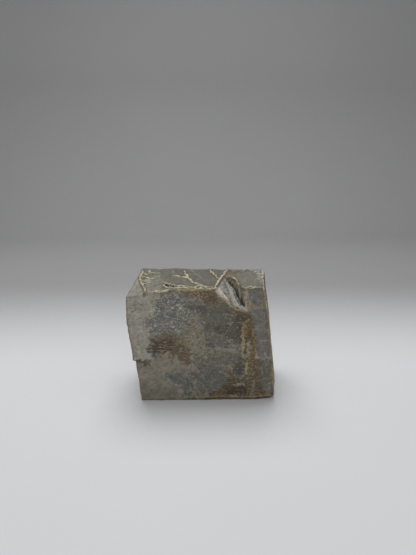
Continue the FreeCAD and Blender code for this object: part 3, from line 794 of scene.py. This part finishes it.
def raise_ridges(flat, a, b, coat, inside, cut):
    """The ridges of the top, with uneven widths and heights. In the fold they are lower, and their
    colour ends a little under the rim."""
    thick = np.clip(1.0 + wobble(flat, (0.16, 4.5, 27), (0.10, 1.8, 57)), 0.8, 1.4)
    under_rim = 1.2 * inside * np.maximum(-cut - 0.6, 0.0)
    rise = np.zeros(len(flat))
    for width, share, line in TOP_RIDGES:
        d = run_distance(line, a, b, 1.15 * width * thick)
        coat["ridge"] = np.maximum(coat["ridge"], d - under_rim)
        beside = np.maximum(width * 0.9 - d, 0) / (width * 1.5)
        rise = np.maximum(rise, share * thick * np.exp(-beside ** 2))
    coat["rise"] = rise * (1.0 - 0.6 * inside)


def sink_holes(a, b, coat):
    """The depth of the hollow and the pits, and the painted shade in them: 1 in a hole and -3 away from it.
    """
    depth, outline = HOLLOW
    hole = area_distance(outline, a, b)
    deep = depth * smooth(hole, -0.2, 0.9)
    dark = smooth(hole, -0.7, 0.2)
    for x, y, radius in PITS:
        d = np.hypot(a - x, b - y) / radius
        deep = np.maximum(deep, PIT_DEPTH * np.exp(-d ** 4))
        dark = np.maximum(dark, np.exp(-(0.66 * d) ** 4))
    coat["deep"] = deep
    coat["recess_shade"] = 4.0 * dark - 3.0


def open_crease(y, over):
    """The painted shade in the open crease: narrow on its left and low up the bank on its right. It sinks
    and fades towards the far end, and ends just behind the front edge."""
    reach = over["reach"]
    high = 6.0 - 3.6 * smooth(reach, 0.3, 0.7) + 0.7 * waves(y, 3.0, 60)
    dark = np.minimum((over["past"] + over["wide"]) / 0.25, 1.5 * (1.0 - over["climb"] / high))
    dark -= 0.25 * smooth(reach, 0.4, 0.7) + 8.0 * smooth(reach, 0.80, 0.95)
    dark -= 3.0 * smooth(reach, 0.08, 0.0)
    return np.clip(dark, -6.0, 1.2)


def top_coat(places, over, colours):
    """The top: areas and strokes at places in x and y, which waver, with the slopes, the bank and the
    veins of the fold, and then ridges, hollow, pits and open crease."""
    flat = np.stack([over["over_x"], places[:, 1]], axis=1)
    a = flat[:, 0] + wobble(flat, (0.40, 5.0, 21), (0.2, 2.0, 22))
    b = flat[:, 1] + wobble(flat, (0.40, 5.0, 23), (0.2, 2.0, 24))
    inside = smooth(-over["cut"], 0.15, 0.7)
    coat = fresh_coat(len(flat), colours.top_bare, colours.top_film, 0.3)
    lay(TOP_AREAS, a, b, coat)
    lay(FOLD_AREAS, a, b, coat, inside)
    a = flat[:, 0] + wobble(flat, (0.20, 4.0, 25), (0.08, 1.4, 55))
    b = flat[:, 1] + wobble(flat, (0.20, 4.0, 26), (0.08, 1.4, 56))
    paint_lines(TOP_STROKES, a, b, coat, 1.0 - inside)
    paint_lines(FOLD_STROKES, a, b, coat, inside)
    paint_bank(flat[:, 1:], over, coat, inside)
    raise_ridges(flat, a, b, coat, inside, over["cut"])
    for width, line in FOLD_VEINS:
        coat["vein"] = np.maximum(coat["vein"], run_distance(line, a, b, width) - 3.0 * (1.0 - inside))
    sink_holes(a, b, coat)
    # painted shade in the open crease, kept where it is darker than that of the hollow and the pits
    coat["recess_shade"] = np.maximum(coat["recess_shade"], open_crease(flat[:, 1:], over))
    coat["relief"] += wobble(flat, (0.10, 14.0, 28), (0.05, 4.0, 29))
    return coat


def side_coat(places, colours):
    """The sides that aren't shown in front: film, slate, olive, beige and brown in broad patches drawn
    by noise, a browner foot and a few veins."""
    coat = fresh_coat(len(places), colours.bare, colours.film, 0.84)
    broad = waves(places, 34.0, 31)
    second = waves(places, 26.0, 32)
    small = wobble(places, (0.35, 7.0, 33), (0.2, 2.5, 34))
    foot = smooth(9.0 + 3.0 * small - places[:, 2], -1.0, 5.0) * smooth(places[:, 0], 30.0, 46.0)
    brush(coat, smooth(broad + small, 0.25, 0.75), "bare", (86, 87, 84), 0.28, -0.06, 0.2)
    brush(coat, smooth(second + small, 0.65, 1.15), "bare", (76, 77, 69), 0.18, -0.05, 0.3)
    brush(coat, smooth(small - second, 1.05, 1.5), "film", (106, 98, 78), 0.60, 0.0, 0.3)
    brush(coat, smooth(-broad - small, 1.15, 1.6), "bare", (68, 60, 46), 0.22, -0.12, 0.7)
    brush(coat, foot, "bare", (64, 57, 45), 0.22, -0.08, 0.5)
    vein = 0.5 - 14.0 * np.abs(waves(places, 30.0, 35)) - 6.0 * smooth(waves(places, 22.0, 36), -0.6, 0.2)
    coat["vein"] = np.maximum(vein, -3.0)
    coat["relief"] += wobble(places, (0.16, 15.0, 37), (0.06, 4.0, 38))
    return coat


def worn_edges(places, over):
    """The lines along the worn edges. Each is its uneven width less the distance from its edge, and
    the pale ones are eased to a mask from 0 to 1."""
    gaps, over_x = over["gaps"], over["over_x"]

    def worn(first, second, width, seed):
        uneven = 1.0 + wobble(places, (0.18, 6.0, seed), (0.12, 2.5, seed + 1))
        return width * uneven - np.hypot(gaps[first], gaps[second])

    def widest(table):
        return np.maximum.reduce([worn(*row) for row in table])

    # cream along the front's top edge: none at the fold, and less at the left and beside the crust
    at_fold = np.where((over_x > 42.0) & (over_x < 60.0), 3.0, 0.0)
    thinner = 0.45 * smooth(over_x, 20.0, 24.0) + 0.35 * smooth(over_x, 12.0, 2.0)
    cream = np.maximum(widest(CREAM_EDGES), worn("front", "top", 0.6, 43) - at_fold - thinner)
    # brown down the right, only inside the pale line
    brown_right = worn("front", "right", 1.3, 62) - 2.4 * smooth(gaps["right"], 1.2, 0.8)
    return smooth(widest(PALE_EDGES), -0.3, 0.4), cream, np.maximum(widest(BROWN_EDGES), brown_right)


def facing_shares(away):
    """How much each corner faces the front, the top and the other sides, adding up to 1."""
    facing = {
        "front": np.clip(-away[:, 1], 0, 1) ** 3,
        "top": np.clip(away[:, 2], 0, 1) ** 3,
        "side": (np.clip(away[:, 1], 0, 1) ** 3 + np.abs(away[:, 0]) ** 3
                 + np.clip(-away[:, 2], 0, 1) ** 3),
    }
    total = sum(facing.values())
    return {name: value / total for name, value in facing.items()}


def to_linear(colour):
    """Display values from 0 to 255 as linear ones from 0 to 1."""
    share = np.asarray(colour, float) / 255.0
    return np.where(share <= 0.04045, share / 12.92, ((share + 0.055) / 1.055) ** 2.4)


def block_mesh(places, faces, layers, numbers):
    """A mesh of places in metres, with the layers' colours and the numbers kept on its corners."""
    mesh = bpy.data.meshes.new("bar_of_soap")
    mesh.from_pydata(places.tolist(), [], faces.tolist())
    mesh.polygons.foreach_set("use_smooth", np.ones(len(faces), bool))
    for name, colour in layers.items():
        colour = to_linear(np.clip(colour, 0, 255))
        colour = np.concatenate([colour, np.ones((len(colour), 1))], axis=1).astype(np.float32)
        mesh.attributes.new(name, "FLOAT_COLOR", "POINT").data.foreach_set("color", colour.ravel())
    for name, values in numbers.items():
        mesh.attributes.new(name, "FLOAT", "POINT").data.foreach_set("value", values.astype(np.float32))
    mesh.validate()
    mesh.update()
    return mesh


def build_block(sizes, colours):
    """The block as one closed mesh: its places pushed out by the relief of the coats, and what its
    material reads kept on its corners."""
    mm = {name: 1000.0 * getattr(sizes, name) for name in SoapSizes.__annotations__}
    places, away, faces, over = block_places(mm)
    front = front_coat(places, colours)
    top = top_coat(places, over, colours)
    side = side_coat(places, colours)
    share = facing_shares(away)

    def blend(name):
        """A value of the three coats, each in the share that its side faces out."""
        parts = ((front, share["front"]), (top, share["top"]), (side, share["side"]))
        return sum((part.T * coat[name].T).T for coat, part in parts)

    relief = blend("relief") + share["top"] * (mm["ridge"] * top["rise"] - top["deep"])
    relief -= mm["crease"] * over["crease"] * (1.0 - 0.5 * smooth(over["reach"], 0.3, 0.6))
    # the underside and the foot stay flat, but for the front's own relief
    lifted = smooth(places[:, 2], 0.3, 2.5)
    places = places + away * (relief * (lifted + (1 - lifted) * share["front"]))[:, None]
    places[:, 2] = np.maximum(places[:, 2], 0.0)

    pale, cream, brown = worn_edges(places, over)
    film, cover = blend("film"), blend("cover")
    film += (np.array(EDGE_COLOUR, float) - film) * pale[:, None]
    cover += (STROKE_COVER["film"] - cover) * pale
    numbers = {
        "cover": cover,
        "drag": blend("drag"),
        "vein": np.clip(np.maximum(blend("vein"), brown), -3, 3),
        "spot": np.clip(blend("spot"), -3, 3),
        "ridge": np.clip(np.maximum(blend("ridge"), cream), -3, 3),
        # painted shade of the crease, the hollow and the pits, on the top only
        "recess_shade": share["top"] * top["recess_shade"],
    }
    origin = np.array([0.5 * (mm["bottom_width"] - mm["lean"]), 0.5 * mm["depth"], 0.0])
    return block_mesh((places - origin) / 1000.0, faces, {"bare": blend("bare"), "film": film}, numbers)


# Materials

class Value:
    """A socket in a node tree. Arithmetic on it adds Math nodes."""

    def __init__(self, nodes, socket):
        self.nodes = nodes
        self.socket = socket

    def math(self, operation, *terms, clamp=False):
        """The result of a Math node on these terms."""
        return self.nodes.add("ShaderNodeMath", {"operation": operation, "use_clamp": clamp},
                              dict(enumerate(terms)))

    def __add__(self, other):
        return self.math("ADD", self, other)

    __radd__ = __add__

    def __sub__(self, other):
        return self.math("SUBTRACT", self, other)

    def __rsub__(self, other):
        return self.math("SUBTRACT", other, self)

    def __mul__(self, other):
        return self.math("MULTIPLY", self, other)

    __rmul__ = __mul__

    def clamped(self):
        """The value kept between 0 and 1."""
        return self.math("ADD", self, 0.0, clamp=True)

    def above(self, low, high):
        """0 below low and 1 above high, eased between them."""
        return self.nodes.add("ShaderNodeMapRange", {"interpolation_type": "SMOOTHSTEP"},
                              {"Value": self, "From Min": low, "From Max": high})


class Nodes:
    """The node tree of a new material."""

    def __init__(self, name):
        self.material = bpy.data.materials.new(name)
        self.material.use_nodes = True
        self.tree = self.material.node_tree
        self.tree.nodes.clear()

    def add(self, kind, settings=None, sockets=None, output=0):
        """A node of this type, with its settings made first and its sockets given values or links."""
        node = self.tree.nodes.new(kind)
        for name, value in (settings or {}).items():
            setattr(node, name, value)
        for name, value in (sockets or {}).items():
            if isinstance(value, Value):
                self.tree.links.new(value.socket, node.inputs[name])
            else:
                node.inputs[name].default_value = value
        return Value(self, node.outputs[output])

    def mix(self, share, first, second, way="MIX"):
        """One colour over another by a share."""
        return self.add("ShaderNodeMix", {"data_type": "RGBA", "blend_type": way},
                        {0: share, 6: first, 7: second}, output=2)

    def kept(self, name, colour=False):
        """A value kept on the mesh's corners."""
        return self.add("ShaderNodeAttribute", {"attribute_name": name}, output=0 if colour else 2)

    def noise(self, vector, scale, detail=3.0, roughness=0.55, output=0):
        """Noise about 0.5 with that many cells for each unit of vector."""
        return self.add("ShaderNodeTexNoise", {}, {"Vector": vector, "Scale": scale, "Detail": detail,
                                                   "Roughness": roughness}, output)

    def stretched(self, vector, by):
        """A vector times another, side by side."""
        return self.add("ShaderNodeVectorMath", {"operation": "MULTIPLY"}, {0: vector, 1: by})

    def finish(self, shader):
        """Send a shader to the material's output."""
        out = self.tree.nodes.new("ShaderNodeOutputMaterial")
        self.tree.links.new(shader.socket, out.inputs["Surface"])
        return self.material


def rgba(colour):
    """A colour property as linear values with full alpha."""
    return tuple(float(v) for v in to_linear(np.array(colour) * 255.0)) + (1.0,)


def soap_material(colours):
    """Cold-process soap: bare soap and the chalky film over it, each in the colour kept on the mesh.
    The film is broken where its cover plus noise falls under a half, and crumbs of it lie on the bare
    soap. Noise shades both. Over them lie pits, dragged lines, rusty spots, veins, painted shade
    beside the ridges, cream ridges and the painted shade in the crease, the hollow and the pits, in
    that order."""
    n = Nodes("soap")
    mm = n.stretched(n.add("ShaderNodeTexCoord", output=3), (1000.0, 1000.0, 1000.0))
    coarse = n.noise(mm, 0.28, 4.0)
    medium = n.noise(mm, 0.8, 4.0, 0.62)
    fine = n.noise(mm, 2.1, 3.0, 0.6)
    streaks = n.noise(n.stretched(mm, (0.20, 0.20, 1.5)), 1.0, 4.0, 0.62)
    cover, drag, vein, spot, ridge, recess_shade = (
        n.kept(name) for name in ("cover", "drag", "vein", "spot", "ridge", "recess_shade"))
    film_colour = n.kept("film", colour=True)
    broken = (medium - 0.5) * 2.0 + (fine - 0.5) * 1.4 + (streaks - 0.5) * (0.9 + 1.8 * drag)
    film = (cover + broken).above(0.44, 0.54)

    # crumbs and pits: each sits in the middle of a cell
    uneven = n.add("ShaderNodeVectorMath", {"operation": "MULTIPLY_ADD"},
                   {0: n.noise(mm, 1.1, 2.0, output=1), 1: (1.6, 1.6, 1.6),
                    2: n.stretched(mm, (0.75, 0.75, 1.15))})
    cells = ("ShaderNodeTexVoronoi", {"feature": "F1"}, {"Vector": uneven, "Scale": 0.95})
    grain = n.add(*cells).above(0.50, 0.30)
    chance = n.add(*cells, output=1)
    crumbs = grain * (chance + 0.6 * cover).above(0.74, 0.80) * (1.0 - film)
    pits = grain * chance.above(0.42, 0.36)

    # where each thing over the film lies
    dragged = streaks + 0.25 * fine
    waver = (medium - 0.5) * 1.7 + (fine - 0.5) * 1.1
    spots = (spot + waver).above(-0.1, 0.5)
    veins = (vein + waver * 0.9).above(-0.15, 0.35)
    vein_skirt = (vein + waver).above(-1.1, -0.2) * (1.0 - veins)
    ridges = (ridge + waver * 0.55).above(-0.12, 0.30)
    # painted shade beside the raised ridges, partly brown soap
    ridge_side_shade = (ridge + waver * 0.9).above(-0.95, -0.25) * (1.0 - ridges)
    # painted shade in the crease, the hollow and the pits
    dark = (recess_shade + (fine - 0.5) * 0.5).above(0.25, 0.75)

    grains = fine + 0.4 * medium
    gold = n.mix(grains.above(0.62, 0.78), rgba(colours.vein_heart), rgba(colours.ochre))
    gold = n.mix(grains.above(0.76, 0.86), gold, rgba(colours.vein_light))
    cream = n.mix(coarse.above(0.35, 0.62), rgba(colours.old_cream), rgba(colours.cream))
    shade = 0.22 + 0.45 * coarse + 0.55 * medium + 0.56 * fine
    grey = n.add("ShaderNodeCombineColor", {}, {0: shade, 1: shade, 2: shade})
    colour = n.mix(film, n.kept("bare", colour=True), film_colour)
    colour = n.mix(crumbs * 0.80, colour, film_colour)
    colour = n.mix(1.0, colour, grey, "MULTIPLY")
    for share, layer in (
            (pits * (0.22 + 0.16 * film), rgba(colours.pit)),
            (dragged.above(0.60, 0.50) * drag * 0.75, rgba(colours.dark_drag)),
            (dragged.above(0.70, 0.80) * drag * 0.55, rgba(colours.pale_drag)),
            (spots * 0.80, rgba(colours.rust)),
            (vein_skirt * 0.40, rgba(colours.vein_shade)),
            (veins * 0.95, gold),
            (ridge_side_shade * 0.45, rgba(colours.ridge_shade)),
            (ridges, cream),
            (dark * 0.92, rgba(colours.recess_shade))):
        colour = n.mix(share, colour, layer)

    rough = 0.50 + 0.22 * fine + 0.12 * veins - 0.10 * drag
    height = (medium * 0.09 + fine * 0.09 + film * 0.12 + crumbs * 0.08 + ridges * 0.22 + veins * 0.14
              - pits * 0.14 + streaks * (0.06 + 0.22 * drag) - spots * 0.05)
    bump = n.add("ShaderNodeBump", {}, {"Strength": 0.75, "Distance": 0.0009, "Height": height})
    shader = n.add("ShaderNodeBsdfPrincipled", {},
                   {"Base Color": colour, "Roughness": rough, "Normal": bump, "IOR": 1.47})
    return n.finish(shader)


def stage_material(settings):
    """Floor and backdrop: pale near the block, greyer with distance behind it and above it. The grey is
    painted shade, where the light falls off.
    """
    n = Nodes("stage")
    place = n.add("ShaderNodeTexCoord", output=3)
    back, up = (n.add("ShaderNodeSeparateXYZ", {}, {0: place}, output=axis) for axis in (1, 2))
    # painted shade: greyer with distance, where the light falls off
    falloff_shade = (back + 0.6 * up).above(0.01, 0.22)
    mist = n.noise(place, 5.0, 2.0)
    grey = n.mix((falloff_shade + (mist - 0.5) * 0.10).clamped(), rgba(settings.floor), rgba(settings.backdrop))
    shader = n.add("ShaderNodeBsdfPrincipled", {}, {"Base Color": grey, "Roughness": 0.9})
    return n.finish(shader)


# The stage, in metres: the floor runs from its front edge back to the turn, and up into the wall

FLOOR_FRONT = -1.0
FLOOR_HALF_WIDTH = 1.2
TURN_START = 0.42
TURN_RADIUS = 0.22
WALL_TOP = 1.1

LAMP_SIZE = 0.40
LAMP_TARGET = (0.0, 0.0, 0.03)
KEY_PLACE = (-0.04, 0.20, 0.62)
FILL_PLACE = (0.06, -0.76, 0.15)

# The camera: where it stands, its lens and sensor in millimetres, and how many degrees it looks down
# and turns to the right

CAMERA_PLACE = (-0.00196, -0.29159, 0.15398)
LENS = 34.0
SENSOR = 36.0
LOOK_DOWN = 16.461
LOOK_RIGHT = 1.014


def build_stage_mesh():
    """A floor that turns up into a wall along a quarter circle: a profile in y and z, carried along
    x."""
    turn = np.linspace(0.0, 0.5 * math.pi, 25)
    y = np.concatenate([[FLOOR_FRONT], TURN_START + TURN_RADIUS * np.sin(turn), [TURN_START + TURN_RADIUS]])
    z = np.concatenate([[0.0], TURN_RADIUS - TURN_RADIUS * np.cos(turn), [WALL_TOP]])
    x = np.linspace(-FLOOR_HALF_WIDTH, FLOOR_HALF_WIDTH, 9)
    grid = np.stack(np.broadcast_arrays(x[:, None], y[None, :], z[None, :]), axis=-1)
    index = np.arange(grid.shape[0] * grid.shape[1]).reshape(grid.shape[:2])
    mesh = bpy.data.meshes.new("floor")
    mesh.from_pydata(grid.reshape(-1, 3).tolist(), [], quads(index).tolist())
    mesh.polygons.foreach_set("use_smooth", np.ones(len(mesh.polygons), bool))
    mesh.update()
    return mesh


# Operators

def place_object(name, data):
    """A new object at the origin, in the scene."""
    made = bpy.data.objects.new(name, data)
    bpy.context.scene.collection.objects.link(made)
    return made


def add_lamp(name, place, power):
    """A square lamp at a place, turned to the block."""
    lamp = bpy.data.lights.new(name, "AREA")
    lamp.shape = "SQUARE"
    lamp.size = LAMP_SIZE
    lamp.energy = power
    made = place_object(name, lamp)
    made.location = place
    made.rotation_euler = (Vector(LAMP_TARGET) - Vector(place)).to_track_quat("-Z", "Y").to_euler()


class SOAP_OT_block(bpy.types.Operator):
    """Build the bar of soap"""

    bl_idname = "soap.block"
    bl_label = "Bar of soap"

    def execute(self, context):
        mesh = build_block(context.scene.soap_sizes, context.scene.soap_colours)
        mesh.materials.append(soap_material(context.scene.soap_colours))
        block = place_object("bar_of_soap", mesh)
        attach(block, "root")
        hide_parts("soap_bar")
        return {"FINISHED"}


class SOAP_OT_stage(bpy.types.Operator):
    """Build the floor, the light and the camera"""

    bl_idname = "soap.stage"
    bl_label = "Stage"

    def execute(self, context):
        scene = context.scene
        settings = scene.soap_stage
        mesh = build_stage_mesh()
        mesh.materials.append(stage_material(settings))
        place_object("floor", mesh)

        scene.world = bpy.data.worlds.new("sky")
        scene.world.use_nodes = True
        background = scene.world.node_tree.nodes["Background"]
        background.inputs["Color"].default_value = (1.0, 1.0, 1.0, 1.0)
        background.inputs["Strength"].default_value = settings.sky
        add_lamp("key_lamp", KEY_PLACE, settings.key)
        add_lamp("fill_lamp", FILL_PLACE, settings.fill)

        camera = bpy.data.cameras.new("camera")
        camera.sensor_width = SENSOR
        camera.lens = LENS
        view = place_object("camera", camera)
        view.location = CAMERA_PLACE
        view.rotation_euler = (math.radians(90.0 - LOOK_DOWN), 0.0, -math.radians(LOOK_RIGHT))
        scene.camera = view
        scene.view_settings.view_transform = "Standard"
        return {"FINISHED"}


class SOAP_PT_panel(bpy.types.Panel):
    """Sizes, colours and the steps"""

    bl_idname = "SOAP_PT_panel"
    bl_label = "Bar of soap"
    bl_space_type = "VIEW_3D"
    bl_region_type = "UI"
    bl_category = "Soap"

    def draw(self, context):
        layout = self.layout
        for title, group in (("Sizes", context.scene.soap_sizes), ("Colours", context.scene.soap_colours),
                             ("Stage", context.scene.soap_stage)):
            box = layout.box()
            box.label(text=title)
            for name in type(group).__annotations__:
                box.prop(group, name)
        layout.operator(SOAP_OT_block.bl_idname)
        layout.operator(SOAP_OT_stage.bl_idname)


CLASSES = (SoapSizes, SoapColours, StageSettings, SOAP_OT_block, SOAP_OT_stage, SOAP_PT_panel)


def register():
    for item in CLASSES:
        bpy.utils.register_class(item)
    bpy.types.Scene.soap_sizes = bpy.props.PointerProperty(type=SoapSizes)
    bpy.types.Scene.soap_colours = bpy.props.PointerProperty(type=SoapColours)
    bpy.types.Scene.soap_stage = bpy.props.PointerProperty(type=StageSettings)


def unregister():
    del bpy.types.Scene.soap_stage
    del bpy.types.Scene.soap_colours
    del bpy.types.Scene.soap_sizes
    for item in reversed(CLASSES):
        bpy.utils.unregister_class(item)


def main():
    register()
    bpy.ops.soap.block()
    bpy.ops.soap.stage()


if __name__ == "__main__":
    main()
